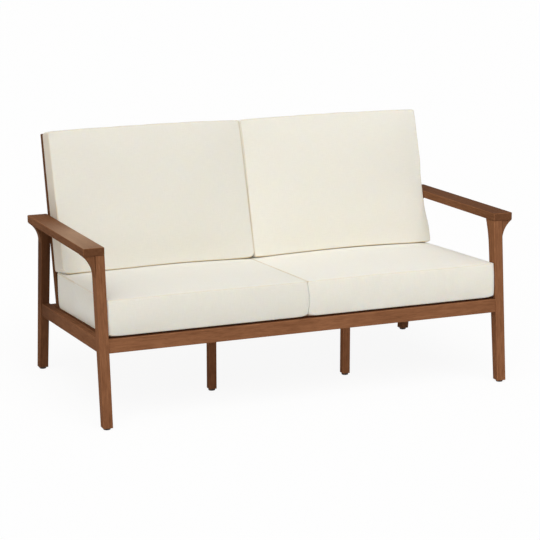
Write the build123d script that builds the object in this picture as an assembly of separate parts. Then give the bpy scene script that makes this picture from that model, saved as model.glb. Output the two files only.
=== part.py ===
"""Two-seat patio bench: a doweled wooden frame with loose seat and back cushions.

Millimetres. +X runs along the bench, +Y towards its back, +Z up. The origin is on the floor, under the
middle of the bench. Left and right are as seen from the front, so left is -X.
"""
import os
from math import cos, radians, sin, sqrt, tan

from build123d import *

# Overall
overall_width = 1422.0
overall_depth = 733.0
front = -overall_depth / 2
rear = overall_depth / 2

# Armrests: flat boards that fall a little towards the back
arm_width = 65.0
arm_thickness = 24.6
arm_top_height = 544.7
arm_fall = 1.5
arm_rounding = 3.0

# Corner legs: tapered boards whose faces lean in, degrees from upright
corbel_reach = 35.0
glide_height = 6.5
front_foot_depth = 31.0
front_leg_front_lean = 5.63
front_leg_rear_lean = 6.99
flare_height = 84.0
flare_reach = 13.2
rear_foot_depth = 29.0
rear_leg_front_lean = 8.78
rear_leg_rear_lean = 7.0
leg_rounding = 2.5
leg_inner = overall_width / 2 - arm_width
leg_outer = overall_width / 2 - corbel_reach
leg_middle = (leg_inner + leg_outer) / 2

# Corbels: curved brackets between each corner leg and the overhang of the armrest
corbel_drop = 65.0
corbel_set_back = 4.0

# Seat frame: rails whose tops lie in one plane that falls towards the back
seat_height = 270.0
seat_tilt = 3.4
rail_height = 42.0
rail_thickness = 25.0
rail_rounding = 1.5
front_rail_inset = 3.0
side_rail_inset = 4.0
rear_rail_inset = 3.0
seat_recess = 12.0
side_rail_outer = leg_outer - side_rail_inset
side_rail_middle = (leg_inner + side_rail_outer) / 2

# Centre legs and the cross bearers that they carry
centre_leg_spread = 232.0
centre_leg_size = 25.0
centre_leg_setback = 274.5
bearer_width = 24.0
bearer_height = 31.0

# Seat slats and the cleats that their ends rest on
cleat_size = 20.0
cleat_back_gap = 14.0
slat_count = 7
slat_gap = 10.2
slat_thickness = 15.0
slat_end_gap = 1.0
slat_front_gap = 10.0
slat_back_gap = 9.0

# Back frame: two stiles, two rails and upright slats, a gap in front of the rear legs
back_gap = 75.6
back_recline = 13.8
back_height = 557.5
back_thickness = 24.0
stile_width = 40.0
stile_foot = 40.0
top_rail_height = 60.0
bottom_rail_height = 50.0
bottom_rail_clearance = 14.0
back_slat_count = 9
back_slat_width = 45.0
back_slat_thickness = 14.0
tenon_length = 10.0
back_rounding = 2.0
stile_inner = leg_inner - stile_width

# Glides under the six legs
glide_radius = 11.0
glide_rounding = 1.5
glide_screw_recess = 1.5
glide_screw_head = 2.5
glide_screw_head_radius = 4.0
glide_screw_radius = 2.0
glide_screw_length = 22.0

# Dowels
dowel_radius = 4.0
dowel_long = 25.0
dowel_short = 14.0
rail_dowel_edge = 11.0
rail_dowel_setback = 10.0
arm_dowel_half_spacing = 10.0
bearer_dowel_long = 20.0
bearer_dowel_short = 12.0
back_dowel_half_spacing = 14.0
corbel_dowel_radius = 3.0
corbel_dowel_drop = 15.0
corbel_dowel_depth = 8.0
fixing_gap = 1.5

# Wood screws of the seat, sunk flush
screw_radius = 2.0
screw_head_radius = 4.0
screw_head_height = 2.5
screw_length = 32.0
slat_screw_shares = (0.25, 0.75)
cleat_screw_slat_counts = (1, 3, 6)

# Bolts that hold the back frame, and their threaded inserts
bolt_radius = 3.0
bolt_head_radius = 6.5
bolt_head_height = 6.0
insert_radius = 5.0
insert_length = 14.0

# Cushions: boxed covers over foam, with crowned faces
cushion_clearance = 0.3
cushion_end_gap = 1.0
cover_thickness = 2.0
cushion_rounding = 10.0
end_rounding = 13.0
seat_split = -3.0
seat_cushion_front = 2.0
seat_cushion_thickness = 113.0
seat_crown = 15.0
seat_side_bulge = 3.0
back_split = 6.0
back_cushion_height = 450.0
back_cushion_foot = 98.0
back_cushion_head = 65.0
back_crown = 20.0
back_head_bulge = 4.0
end_round_shares = (0.0, 0.5, 0.85, 1.0)
middle_shares = (-0.7, -0.35, 0.0, 0.35, 0.7)
arc_share = 2 - sqrt(2)
widest_corner_share = 0.45

# Room that cutting shapes run past what they cut
overrun = 5.0


def lean_y(edge, z):
    """y of a leaning edge (y, z, degrees back from upright) at a height."""
    return edge[0] + tan(radians(edge[2])) * (z - edge[1])


def shifted(edge, distance):
    """A leaning edge moved back, square to itself."""
    return (edge[0] + distance / cos(radians(edge[2])), edge[1], edge[2])


def lowered(plane, distance):
    """A falling plane (y, z, degrees down towards the back) moved down, square to itself."""
    return (plane[0], plane[1] - distance / cos(radians(plane[2])), plane[2])


def fall_z(plane, y):
    """z of a falling plane at a y."""
    return plane[1] - tan(radians(plane[2])) * (y - plane[0])


def meet(edge, plane):
    """Point (y, z) where a leaning edge meets a falling plane."""
    lean = tan(radians(edge[2]))
    fall = tan(radians(plane[2]))
    z = (plane[1] - fall * (edge[0] - lean * edge[1] - plane[0])) / (1 + fall * lean)
    return (lean_y(edge, z), z)


# Side view lines, each in (y, z)
front_leg_front = (front, glide_height, front_leg_front_lean)
front_leg_rear = (front + front_foot_depth, glide_height, front_leg_rear_lean)
rear_leg_front = (rear - rear_foot_depth, glide_height, -rear_leg_front_lean)
rear_leg_rear = (rear, glide_height, -rear_leg_rear_lean)
arm_top = (lean_y(front_leg_front, arm_top_height), arm_top_height, arm_fall)
arm_under = lowered(arm_top, arm_thickness)
seat_y = lean_y(front_leg_front, seat_height) + front_rail_inset
seat_plane = (seat_y, seat_height, seat_tilt)
rail_under = lowered(seat_plane, rail_height)
slat_under = lowered(seat_plane, seat_recess)
bearer_under = lowered(slat_under, bearer_height)
rear_rail_rear = shifted(rear_leg_rear, -rear_rail_inset)
rear_rail_front = shifted(rear_rail_rear, -rail_thickness)

seat_place = Location((0, seat_y, seat_height), (-seat_tilt, 0, 0))
back_rear = (*meet(shifted(rear_leg_front, -back_gap), seat_plane), back_recline)
back_place = Location((0, back_rear[0], back_rear[1]), (-back_recline, 0, 0))
back_depth = (back_rear[0] - seat_y) / cos(radians(seat_tilt))
stile_middle_line = shifted(back_rear, -back_thickness / 2)
arm_start = meet(front_leg_front, arm_under)
arm_end = meet(rear_leg_rear, arm_under)
arm_place = Location((0, *arm_start), (-arm_fall, 0, 0))
back_front_at_seat = back_depth - back_thickness / cos(radians(back_recline - seat_tilt))
first_slat = rail_thickness + slat_front_gap
slat_span = back_front_at_seat - slat_back_gap - first_slat
slat_width = (slat_span + slat_gap) / slat_count - slat_gap


def block(low, high):
    """Box between two corners, each (x, y, z)."""
    size = [b - a for a, b in zip(low, high)]
    return Pos(*low) * Box(*size, align=(Align.MIN, Align.MIN, Align.MIN))


def side_solid(outline, x_low, x_high):
    """Solid with a side view outline, a face in (y, z), between two x."""
    return extrude(Plane.YZ.offset(x_low) * outline, x_high - x_low, dir=(1, 0, 0))


def side_polygon(points):
    """Face through side view points."""
    return make_face(Polyline(*points, close=True))


def long_edges_rounded(solid, axis, length, radius):
    """The solid with the edges that run along an axis for more than a length rounded."""
    edges = [edge for edge in solid.edges() if tuple(edge.bounding_box().size)[axis] > length]
    return fillet(edges, radius)


def mirrored(solid):
    """The same piece on the other side of the bench."""
    return mirror(solid, about=Plane.YZ)


def pegs(places, back, ahead, radius):
    """Cylinders along the local Z of each place, from back behind it to ahead of it."""
    low = (Align.CENTER, Align.CENTER, Align.MIN)
    return [place * Pos(0, 0, -back) * Cylinder(radius, back + ahead, align=low) for place in places]


def along_x(point):
    """Place at a point (x, y, z), with its local Z along +X."""
    return Location(point, (0, 90, 0))


def along_seat(point):
    """Place at a point (x, y, z), with its local Z back along the fall of the seat."""
    return Location(point, (-90 - seat_tilt, 0, 0))


def bored(piece, fixings):
    """The piece with a close hole for each fixing that enters it."""
    box = piece.bounding_box()
    near = [fixing for fixing in fixings if box.overlaps(fixing.bounding_box())]
    return piece - near if near else piece


def front_leg_outline(top_plane):
    """Tapered front leg up to a plane, its rear edge flared at the top."""
    flared_rear = (front_leg_rear[0] + flare_reach, front_leg_rear[1], front_leg_rear[2])
    top_rear = meet(flared_rear, top_plane)
    flare_start_z = top_rear[1] - flare_height
    flare_start = (lean_y(front_leg_rear, flare_start_z), flare_start_z)
    foot_front = (front_leg_front[0], glide_height)
    foot_rear = (front_leg_rear[0], glide_height)
    top_front = meet(front_leg_front, top_plane)
    upwards = (sin(radians(front_leg_rear_lean)), cos(radians(front_leg_rear_lean)))
    return make_face([
        Line(foot_rear, flare_start),
        TangentArc(flare_start, top_rear, tangent=upwards),
        Line(top_rear, top_front),
        Line(top_front, foot_front),
        Line(foot_front, foot_rear),
    ])


def rear_leg_outline(top_plane):
    """Tapered rear leg up to a plane."""
    return side_polygon([
        (rear_leg_front[0], glide_height),
        (rear_leg_rear[0], glide_height),
        meet(rear_leg_rear, top_plane),
        meet(rear_leg_front, top_plane),
    ])


def leg_tops():
    """Middle y of the tops of the front and rear legs."""
    front_middle = (arm_start[0] + meet(front_leg_rear, arm_under)[0] + flare_reach) / 2
    rear_middle = (meet(rear_leg_front, arm_under)[0] + arm_end[0]) / 2
    return front_middle, rear_middle


def corner_leg(outline):
    """Leg on the right, from its outline, with its long edges rounded."""
    leg = side_solid(outline(arm_under), leg_inner, leg_outer)
    return long_edges_rounded(leg, 2, flare_height / 2, leg_rounding)


def corbel(outline, top_middle):
    """Bracket on the right: a hollow curve from the leg's outer face out to the edge of the armrest."""
    top_z = fall_z(arm_under, top_middle)
    tangent_point = (leg_outer, top_z - corbel_drop)
    reach_point = (leg_outer + corbel_reach, top_z)
    front_view = make_face([
        TangentArc(tangent_point, reach_point, tangent=(0, 1)),
        Line(reach_point, (leg_outer + corbel_reach, top_z + overrun)),
        Line((leg_outer + corbel_reach, top_z + overrun), (leg_outer, top_z + overrun)),
        Line((leg_outer, top_z + overrun), tangent_point),
    ])
    sweep = extrude(Plane.XZ.offset(-rear) * front_view, overall_depth, dir=(0, -1, 0))
    raised_plane = lowered(arm_under, -corbel_set_back)
    limits = offset(outline(raised_plane), -corbel_set_back)
    return sweep & side_solid(limits, leg_outer, leg_outer + corbel_reach)


def armrest():
    """Arm board on the right, rounded all over."""
    length = (arm_end[0] - arm_start[0]) / cos(radians(arm_fall))
    board = block((leg_inner, 0, 0), (leg_inner + arm_width, length, arm_thickness))
    return arm_place * fillet(board.edges(), arm_rounding)


def side_rail():
    """Rail on the right, between the faces of the front and rear legs."""
    outline = side_polygon([
        meet(front_leg_rear, seat_plane),
        meet(front_leg_rear, rail_under),
        meet(rear_leg_front, rail_under),
        meet(rear_leg_front, seat_plane),
    ])
    rail = side_solid(outline, leg_inner, side_rail_outer)
    return long_edges_rounded(rail, 1, rail_height, rail_rounding)


def front_rail():
    """Rail between the front legs, square to the seat."""
    rail = block((-leg_inner, 0, -rail_height), (leg_inner, rail_thickness, 0))
    return seat_place * long_edges_rounded(rail, 0, rail_height, rail_rounding)


def rear_rail_heights():
    """Lower and upper z of the rear rail, whose top lines up with the underside of the slats."""
    top = fall_z(slat_under, lean_y(rear_rail_front, seat_height))
    return top - rail_height, top


def rear_rail():
    """Rail between the rear legs, leaning with them."""
    low, high = rear_rail_heights()
    corners = [(rear_rail_front, low), (rear_rail_rear, low), (rear_rail_rear, high), (rear_rail_front, high)]
    rail = side_solid(side_polygon([(lean_y(edge, z), z) for edge, z in corners]), -leg_inner, leg_inner)
    return long_edges_rounded(rail, 0, rail_height, rail_rounding)


def seat_point(u, w):
    """Side view point (y, z) at a distance back along the seat and a height above its plane."""
    point = (seat_place * Location((0, u, w))).position
    return (point.Y, point.Z)


def cross_bearer():
    """Bearer on the right, from the front rail to the rear rail."""
    outline = side_polygon([
        seat_point(rail_thickness, -seat_recess),
        seat_point(rail_thickness, -seat_recess - bearer_height),
        meet(rear_rail_front, bearer_under),
        meet(rear_rail_front, slat_under),
    ])
    return side_solid(outline, centre_leg_spread - bearer_width / 2, centre_leg_spread + bearer_width / 2)


def centre_leg():
    """Straight leg on the right, under its bearer."""
    front_face = (front + centre_leg_setback - centre_leg_size / 2, glide_height, 0)
    rear_face = shifted(front_face, centre_leg_size)
    outline = side_polygon([
        (front_face[0], glide_height),
        (rear_face[0], glide_height),
        meet(rear_face, bearer_under),
        meet(front_face, bearer_under),
    ])
    half = centre_leg_size / 2
    leg = side_solid(outline, centre_leg_spread - half, centre_leg_spread + half)
    return long_edges_rounded(leg, 2, centre_leg_size, rail_rounding)


def slat_cleat():
    """Cleat on the inner face of the right side rail."""
    low = (leg_inner - cleat_size, rail_thickness, -seat_recess - cleat_size)
    return seat_place * block(low, (leg_inner, back_front_at_seat - cleat_back_gap, -seat_recess))


def slat_starts():
    """Distance along the seat of the front edge of each seat slat."""
    return [first_slat + (slat_width + slat_gap) * i for i in range(slat_count)]


def seat_slat(start):
    """One seat slat, from side rail to side rail."""
    half = leg_inner - slat_end_gap
    low = (-half, start, -seat_recess)
    slat = block(low, (half, start + slat_width, slat_thickness - seat_recess))
    return seat_place * long_edges_rounded(slat, 0, slat_width, rail_rounding)


def back_stile():
    """Upright of the back on the right, from the foot of the side rail to the top."""
    stile = block((stile_inner, -back_thickness, -stile_foot), (leg_inner, 0, back_height))
    return back_place * long_edges_rounded(stile, 2, top_rail_height, back_rounding)


def back_rail(low, height):
    """Rail of the back between the stiles."""
    rail = block((-stile_inner, -back_thickness, low), (stile_inner, 0, low + height))
    return back_place * long_edges_rounded(rail, 0, height, back_rounding)


def back_slats():
    """Upright slats, housed in the two rails of the back."""
    low = bottom_rail_clearance + bottom_rail_height - tenon_length
    high = back_height - top_rail_height + tenon_length
    front_face = -(back_thickness + back_slat_thickness) / 2
    pitch = (2 * stile_inner + back_slat_width) / (back_slat_count + 1)
    slats = []
    for i in range(back_slat_count):
        x = (i - (back_slat_count - 1) / 2) * pitch
        corner = (x - back_slat_width / 2, front_face, low)
        far = (x + back_slat_width / 2, front_face + back_slat_thickness, high)
        slats.append(back_place * block(corner, far))
    return slats


def leg_feet():
    """Middle of each foot, (x, y), right-hand legs first."""
    front_foot = (leg_middle, front + front_foot_depth / 2)
    rear_foot = (leg_middle, rear - rear_foot_depth / 2)
    centre_foot = (centre_leg_spread, front + centre_leg_setback)
    return {"front": front_foot, "rear": rear_foot, "centre": centre_foot}


def glide(foot):
    """Round glide with a recess for its screw."""
    low = (Align.CENTER, Align.CENTER, Align.MIN)
    disc = Cylinder(glide_radius, glide_height, align=low)
    disc = fillet(disc.edges().sort_by(Axis.Z)[0], glide_rounding)
    recess = Cylinder(glide_screw_head_radius, glide_screw_recess + glide_screw_head, align=low)
    bore = Cylinder(glide_screw_radius, glide_height, align=low)
    return Pos(foot[0], foot[1], 0) * (disc - recess - bore)


def glide_screw(foot):
    """Pan head screw up through a glide into the leg."""
    low = (Align.CENTER, Align.CENTER, Align.MIN)
    head = Cylinder(glide_screw_head_radius, glide_screw_head, align=low)
    shank = Pos(0, 0, glide_screw_head) * Cylinder(glide_screw_radius, glide_screw_length, align=low)
    return Pos(foot[0], foot[1], glide_screw_recess) * (head + shank)


def wood_screw(place):
    """Countersunk screw driven along the local -Z of a place, its head flush there."""
    high = (Align.CENTER, Align.CENTER, Align.MAX)
    head = Cone(screw_radius, screw_head_radius, screw_head_height, align=high)
    shank = Cylinder(screw_radius, screw_length, align=high)
    return place * (head + shank)


def seat_screws():
    """Screws of the slats into cleats and bearers, and of the cleats into the side rails, on the right."""
    top = slat_thickness - seat_recess
    cleat_x = leg_inner - cleat_size / 2
    starts = slat_starts()
    places = [(cleat_x, start + share * slat_width, top) for start in starts for share in slat_screw_shares]
    places += [(centre_leg_spread, start + slat_width / 2, top) for start in starts]
    screws = [wood_screw(seat_place * Location(point)) for point in places]
    for slats_in_front in cleat_screw_slat_counts:
        u = first_slat + slats_in_front * (slat_width + slat_gap) - slat_gap / 2
        point = (leg_inner - cleat_size, u, -seat_recess - cleat_size / 2)
        screws.append(wood_screw(seat_place * Location(point, (0, -90, 0))))
    return screws


def back_bolt_points():
    """Side view points (y, z) of the bolts: in the side rail and in the armrest."""
    rail_middle = lowered(seat_plane, rail_height / 2)
    arm_middle = lowered(arm_top, arm_thickness / 2)
    return [meet(stile_middle_line, plane) for plane in (rail_middle, arm_middle)]


def back_bolt(point):
    """Bolt from the inner face of the right stile into its insert."""
    place = along_x((stile_inner, *point))
    low = (Align.CENTER, Align.CENTER, Align.MIN)
    head = Cylinder(bolt_head_radius, bolt_head_height, align=low)
    shank = Cylinder(bolt_radius, stile_width + insert_length, align=low)
    return place * (head + shank)


def bolt_insert(point):
    """Threaded insert for a back bolt."""
    low = (Align.CENTER, Align.CENTER, Align.MIN)
    sleeve = Cylinder(insert_radius, insert_length, align=low) - Cylinder(bolt_radius, insert_length, align=low)
    return along_x((leg_inner, *point)) * sleeve


def arm_dowels():
    """Dowels from the tops of the right legs into the armrest, clear of its bolt insert."""
    x = leg_inner + insert_length + fixing_gap + dowel_radius
    places = []
    for middle in leg_tops():
        for y in (middle - arm_dowel_half_spacing, middle + arm_dowel_half_spacing):
            places.append(Location((x, y, fall_z(arm_under, y))))
    return pegs(places, dowel_long, dowel_short, dowel_radius)


def corbel_dowels():
    """Dowels from the right legs into their corbels."""
    plane = lowered(arm_under, corbel_dowel_drop)
    places = [along_x((leg_outer, y, fall_z(plane, y))) for y in leg_tops()]
    return pegs(places, corbel_dowel_depth, corbel_dowel_depth, corbel_dowel_radius)


def rail_dowels():
    """Dowels that join the front, side and rear rails to the right legs."""
    depths = (rail_dowel_edge, rail_height - rail_dowel_edge)
    front_places = [along_x((leg_inner, *seat_point(rail_dowel_setback, -depth))) for depth in depths]
    planes = [lowered(seat_plane, depth) for depth in depths]
    side_front = [along_seat((side_rail_middle, *meet(front_leg_rear, plane))) for plane in planes]
    side_rear = [along_seat((side_rail_middle, *meet(rear_leg_front, plane))) for plane in planes]
    low, high = rear_rail_heights()
    middle = shifted(rear_rail_front, rail_thickness / 2)
    heights = (low + rail_dowel_edge, high - rail_dowel_edge)
    rear_places = [along_x((leg_inner, lean_y(middle, z), z)) for z in heights]
    return (
        pegs(front_places + rear_places, dowel_long, dowel_short, dowel_radius)
        + pegs(side_front, dowel_short, dowel_long, dowel_radius)
        + pegs(side_rear, dowel_long, dowel_short, dowel_radius)
    )


def bearer_dowels():
    """Dowels of the right bearer into both rails, and of the centre leg into the bearer."""
    depth = seat_recess + bearer_height / 2
    front_place = along_seat((centre_leg_spread, *seat_point(rail_thickness, -depth)))
    rear_place = along_seat((centre_leg_spread, *meet(rear_rail_front, lowered(seat_plane, depth))))
    leg_y = front + centre_leg_setback
    leg_place = Location((centre_leg_spread, leg_y, fall_z(bearer_under, leg_y)))
    return (
        pegs([front_place], bearer_dowel_short, bearer_dowel_long, dowel_radius)
        + pegs([rear_place], bearer_dowel_long, bearer_dowel_short, dowel_radius)
        + pegs([leg_place], dowel_long, dowel_short, dowel_radius)
    )


def back_dowels():
    """Dowels of the back's rails into the right stile."""
    centres = (bottom_rail_clearance + bottom_rail_height / 2, back_height - top_rail_height / 2)
    offsets = (-back_dowel_half_spacing, back_dowel_half_spacing)
    points = [(stile_inner, -back_thickness / 2, centre + side) for centre in centres for side in offsets]
    return pegs([back_place * along_x(point) for point in points], dowel_long, dowel_short, dowel_radius)


def rounded_outline(corners, bulges, inset):
    """Face with rounded corners whose sides bow out; corners run anticlockwise, each side from its corner.

    A side with no bulge is straight. The inset draws every corner in.
    """
    edges = []
    count = len(corners)
    points = [inset_corner(corners, i, inset) for i in range(count)]
    shortest = min((points[i] - points[i - 1]).length for i in range(count))
    rounding = min(cushion_rounding, widest_corner_share * shortest)
    for i in range(count):
        here, ahead, behind = points[i], points[(i + 1) % count], points[i - 1]
        to_ahead = (ahead - here).normalized()
        leave = here + to_ahead * rounding
        enter = here + (behind - here).normalized() * rounding
        arrive = ahead - to_ahead * rounding
        edges.append(ThreePointArc(enter, here + ((enter + leave) / 2 - here) * arc_share, leave))
        if bulges[i]:
            outwards = Vector(to_ahead.Y, -to_ahead.X)
            edges.append(ThreePointArc(leave, (leave + arrive) / 2 + outwards * bulges[i], arrive))
        else:
            edges.append(Line(leave, arrive))
    return make_face(edges)


def inset_corner(corners, i, inset):
    """A corner moved in, square to both of its sides."""
    here = Vector(*corners[i])
    ahead = (Vector(*corners[(i + 1) % len(corners)]) - here).normalized()
    behind = (Vector(*corners[i - 1]) - here).normalized()
    spread = abs(ahead.cross(behind).Z)
    return here + (ahead + behind) * (inset / spread)


def cushion_stations(x_low, x_high, inset):
    """Places of the sections along a cushion: (x, how far the section is drawn in, share of its crown)."""
    centre = (x_low + x_high) / 2
    half = (x_high - x_low) / 2 - inset
    straight = half - end_rounding
    ends = []
    for share in end_round_shares:
        drawn = end_rounding * (1 - sqrt(1 - share ** 2))
        ends.append((straight + end_rounding * share, drawn))
    stations = [(centre - x, drawn) for x, drawn in reversed(ends)]
    stations += [(centre + share * half, 0.0) for share in middle_shares]
    stations += [(centre + x, drawn) for x, drawn in ends]
    return [(x, drawn, crown_at((x - centre) / half)) for x, drawn in stations]


def crown_at(share):
    """Share of the full crown at a share of the cushion's half width, never quite flat."""
    least_share = 0.1
    return least_share + (1 - least_share) * (1 - abs(share) ** 3)


def cushion_body(x_low, x_high, corners, bulges, inset):
    """Cushion from section to section along X, in the (y, z) of its own place."""
    sections = []
    for x, drawn, crown in cushion_stations(x_low, x_high, inset):
        swell = [bulge * crown for bulge in bulges]
        sections.append(Plane.YZ.offset(x) * rounded_outline(corners, swell, inset + drawn))
    return loft(sections, ruled=True)


def seat_cushion_corners():
    """Corners of the seat cushion's section, (distance along the seat, height above its plane)."""
    base = slat_thickness - seat_recess + cushion_clearance
    tip = seat_cushion_front + seat_side_bulge
    stile_slope = tan(radians(back_recline - seat_tilt))
    heel = back_front_at_seat + stile_slope * base - cushion_clearance - seat_side_bulge
    top = base + seat_cushion_thickness
    return [(tip, base), (heel, base), (heel, top), (tip, top)]


def back_cushion_corners():
    """Corners of the back cushion's section, in the (y, z) of the back, its foot on the seat cushion."""
    heel, top = seat_cushion_corners()[2]
    y, z = seat_point(heel - cushion_rounding, top)
    lean = radians(back_recline)
    away = (y - back_rear[0], z - back_rear[1])
    foot = away[0] * sin(lean) + away[1] * cos(lean) + cushion_clearance
    face = -back_thickness - cushion_clearance
    head = foot + back_cushion_height
    return [(face - back_cushion_foot, foot), (face, foot), (face, head), (face - back_cushion_head, head)]


def cushions():
    """Cover and foam core of the four cushions."""
    half_gap = cushion_clearance
    end = leg_inner - cushion_end_gap
    seat = (seat_cushion_corners(), (0.0, seat_side_bulge, seat_crown, seat_side_bulge), seat_place)
    back = (back_cushion_corners(), (0.0, 0.0, back_head_bulge, back_crown), back_place)
    spans = {
        "seat_cushion_left": (seat, -end, seat_split - half_gap),
        "seat_cushion_right": (seat, seat_split + half_gap, end),
        "back_cushion_left": (back, -end, back_split - half_gap),
        "back_cushion_right": (back, back_split + half_gap, end),
    }
    pieces = {}
    for name, ((corners, bulges, place), low, high) in spans.items():
        outer = cushion_body(low, high, corners, bulges, 0.0)
        inside = cushion_body(low, high, corners, bulges, cover_thickness)
        core = cushion_body(low, high, corners, bulges, cover_thickness + cushion_clearance)
        pieces[f"{name}_cover"] = place * (outer - inside)
        pieces[f"{name}_core"] = place * core
    return pieces


def both_sides(name, piece):
    """A right-hand piece and its mirror image, under their names."""
    return {f"{name}_right": piece, f"{name}_left": mirrored(piece)}


def fixings_of_the_right():
    """Every fastener and dowel on the right, by the name of its group."""
    feet = leg_feet().values()
    points = back_bolt_points()
    return {
        "frame_dowels": arm_dowels() + corbel_dowels() + rail_dowels() + bearer_dowels() + back_dowels(),
        "seat_screws": seat_screws(),
        "back_bolts": [back_bolt(point) for point in points],
        "bolt_inserts": [bolt_insert(point) for point in points],
        "glide_screws": [glide_screw(foot) for foot in feet],
    }


def wooden_pieces():
    """Every wooden piece before its holes: those on the right, and those across the middle."""
    front_top, rear_top = leg_tops()
    right = {
        "front_leg": corner_leg(front_leg_outline),
        "rear_leg": corner_leg(rear_leg_outline),
        "armrest": armrest(),
        "front_corbel": corbel(front_leg_outline, front_top),
        "rear_corbel": corbel(rear_leg_outline, rear_top),
        "side_rail": side_rail(),
        "cross_bearer": cross_bearer(),
        "centre_leg": centre_leg(),
        "slat_cleat": slat_cleat(),
        "back_stile": back_stile(),
    }
    slats = back_slats()
    across = {
        "front_rail": front_rail(),
        "rear_rail": rear_rail(),
        "back_bottom_rail": back_rail(bottom_rail_clearance, bottom_rail_height) - slats,
        "back_top_rail": back_rail(back_height - top_rail_height, top_rail_height) - slats,
    }
    for i, start in enumerate(slat_starts(), 1):
        across[f"seat_slat_{i}"] = seat_slat(start)
    return right, across, slats


def build():
    """Every node of the bench, by name."""
    nodes = {}
    groups = fixings_of_the_right()
    right_fixings = [fixing for group in groups.values() for fixing in group]
    all_fixings = right_fixings + [mirrored(fixing) for fixing in right_fixings]
    right, across, slats = wooden_pieces()
    for name, piece in right.items():
        nodes.update(both_sides(name, bored(piece, right_fixings)))
    for name, piece in across.items():
        nodes[name] = bored(piece, all_fixings)
    for i, slat in enumerate(slats, 1):
        nodes[f"back_slat_{i}"] = slat
    for name, foot in leg_feet().items():
        nodes.update(both_sides(f"{name}_glide", glide(foot)))
    for name, group in groups.items():
        nodes[name] = Compound(group + [mirrored(fixing) for fixing in group])
    nodes.update(cushions())
    return nodes


os.makedirs("parts", exist_ok=True)
for node_name, shape in build().items():
    export_step(shape, f"parts/{node_name}.step")
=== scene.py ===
"""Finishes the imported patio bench: stained wood, boxed cushions, fixings, floor, lights and camera."""

from math import ceil, copysign, cos, pi, radians, sin

import bmesh
import bpy
from mathutils import Matrix, Vector, noise
from mathutils.bvhtree import BVHTree


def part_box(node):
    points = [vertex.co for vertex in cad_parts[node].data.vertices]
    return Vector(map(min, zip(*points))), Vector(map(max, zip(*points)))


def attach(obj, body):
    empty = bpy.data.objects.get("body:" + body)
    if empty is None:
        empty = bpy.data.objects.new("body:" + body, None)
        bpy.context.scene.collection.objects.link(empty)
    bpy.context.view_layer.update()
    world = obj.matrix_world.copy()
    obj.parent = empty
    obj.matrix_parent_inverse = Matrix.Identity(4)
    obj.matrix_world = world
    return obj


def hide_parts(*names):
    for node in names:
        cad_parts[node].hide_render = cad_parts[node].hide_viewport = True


bl_info = {
    "name": "Patio bench",
    "version": (1, 0, 0),
    "blender": (4, 5, 0),
    "location": "3D View > Sidebar > Bench",
    "description": "Wood, cushions, fixings and studio of a two-seat patio bench",
    "category": "Object",
}

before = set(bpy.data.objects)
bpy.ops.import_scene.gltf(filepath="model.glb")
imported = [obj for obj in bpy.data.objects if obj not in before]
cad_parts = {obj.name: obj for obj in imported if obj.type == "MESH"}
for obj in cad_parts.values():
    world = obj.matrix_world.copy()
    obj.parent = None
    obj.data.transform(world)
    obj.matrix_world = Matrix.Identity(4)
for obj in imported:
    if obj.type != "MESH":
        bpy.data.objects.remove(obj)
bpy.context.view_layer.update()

HARDWOOD = ("leg", "armrest", "corbel", "rail", "bearer", "cleat", "stile", "slat")
GRAIN_SEED = 58  # without a seed, noise_vector takes its offsets from the clock

# What sets the finish of a board or a cover apart from its neighbours'. A board's tone is partly its own
# lightness and partly painted light and shade, set to how brightly it is lit, and its other entries paint a
# sheen, shade and shadow on it.
BOARDS = {
    "armrest_left": {"tone": 0.75, "sheen_patch": 0.81, "top_shade": 0.20},
    "armrest_right": {"tone": 0.86, "top_shade": 0.62},
    "back_stile_left": {"tone": 0.55},
    "back_stile_right": {"tone": 0.75},
    "centre_leg_left": {"tone": 1.18},
    "centre_leg_right": {"tone": 1.60},
    "front_corbel_left": {"tone": 0.86},
    "front_corbel_right": {"tone": 0.92},
    "front_leg_left": {"groove": -1.0},
    "front_leg_right": {"tone": 1.09, "groove": 1.0},
    "front_rail": {"tone": 1.07},
    "rear_corbel_left": {"tone": 0.66},
    "rear_leg_left": {"tone": 0.75, "upright_shadow": 0.72},
    "rear_leg_right": {"tone": 0.75},
    "side_rail_left": {"tone": 0.92, "rear_shade": 0.62},
}
# A cover's tone is painted light, lighter on the right; the back left cover's colour is painted warm shade on
# its left boxing.
COVERS = {
    "seat_left": {},
    "seat_right": {"tone": 1.045},
    "back_left": {"tone": 0.97, "side_shade": (0.92, 0.86, 0.80, 1.0)},
    "back_right": {"tone": 1.015},
}

# Places in metres between which a difference grows, along the bench's depth or in height.
SHEEN_GROWS, SHEEN_EASES = (-0.20, 0.04), (0.12, 0.30)
UPRIGHT_SHADOW_GROWS = (0.17, 0.27)
REAR_SHADE_GROWS = (0.02, 0.27)
CORBEL_SHADOW_GROWS = (0.455, 0.475)

# Darkness of pores and end grain, and of the painted shade and shadow on tops, uprights, a rail and beside a
# corbel, as shares of the wood's dark grain.
PORE, END_GRAIN, SHADED_TOP, IN_SHADOW, REAR_SHADED, BESIDE_CORBEL = 0.45, 0.6, 0.55, 0.50, 0.45, 0.12

WHITE = (1.0, 1.0, 1.0, 1.0)
UPWARD, FORWARD, REARWARD, LEFTWARD = (0.0, 0.0, 1.0), (0.0, -1.0, 0.0), (0.0, 1.0, 0.0), (-1.0, 0.0, 0.0)


def linear(colour):
    """A screen colour, as the settings keep it, as the linear colour with alpha that a shader reads."""
    return tuple(c / 12.92 if c <= 0.04045 else ((c + 0.055) / 1.055) ** 2.4 for c in colour) + (1.0,)


def shade(colour, amount):
    """A linear colour made lighter or darker by a factor."""
    return tuple(min(1.0, c * amount) for c in colour[:3]) + (1.0,)


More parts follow.
